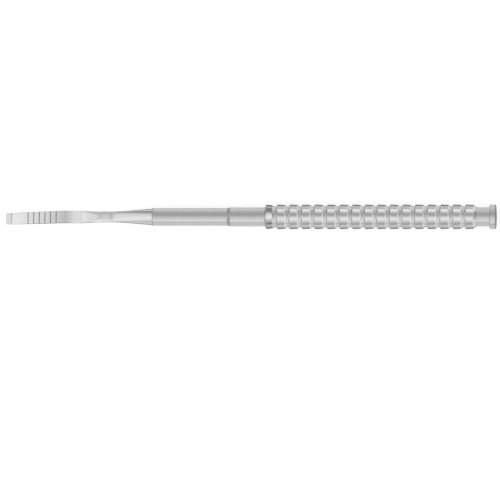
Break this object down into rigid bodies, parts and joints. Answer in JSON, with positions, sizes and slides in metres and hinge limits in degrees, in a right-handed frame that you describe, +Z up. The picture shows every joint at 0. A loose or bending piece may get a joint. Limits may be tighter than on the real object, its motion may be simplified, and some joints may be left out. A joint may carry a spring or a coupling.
{
  "type": "surgical chisel",
  "caption": "Slim bent bone chisel with depth marks on its blade, a plain round shaft and a ridged steel handle with a striking head.",
  "frame": {"origin": "middle of the striking face at the back end of the handle", "axes": "+X along the turning axis out of the striking face, so the cutting edge points towards -X; +Z up as the chisel lies on a table with its blade bent down; +Y across the blade's width"},
  "size_m": [0.165, 0.0082, 0.0085],
  "materials": {
    "blade": "satin stainless steel, ground along the blade, with dark etched depth marks",
    "shaft": "satin stainless steel, finely turned",
    "handle": "satin stainless steel, finely turned, with brighter polished ridge crests"
  },
  "bodies": {
    "root": {"blade": "blade", "shaft": "shaft", "handle": "handle"}
  },
  "joints": []
}
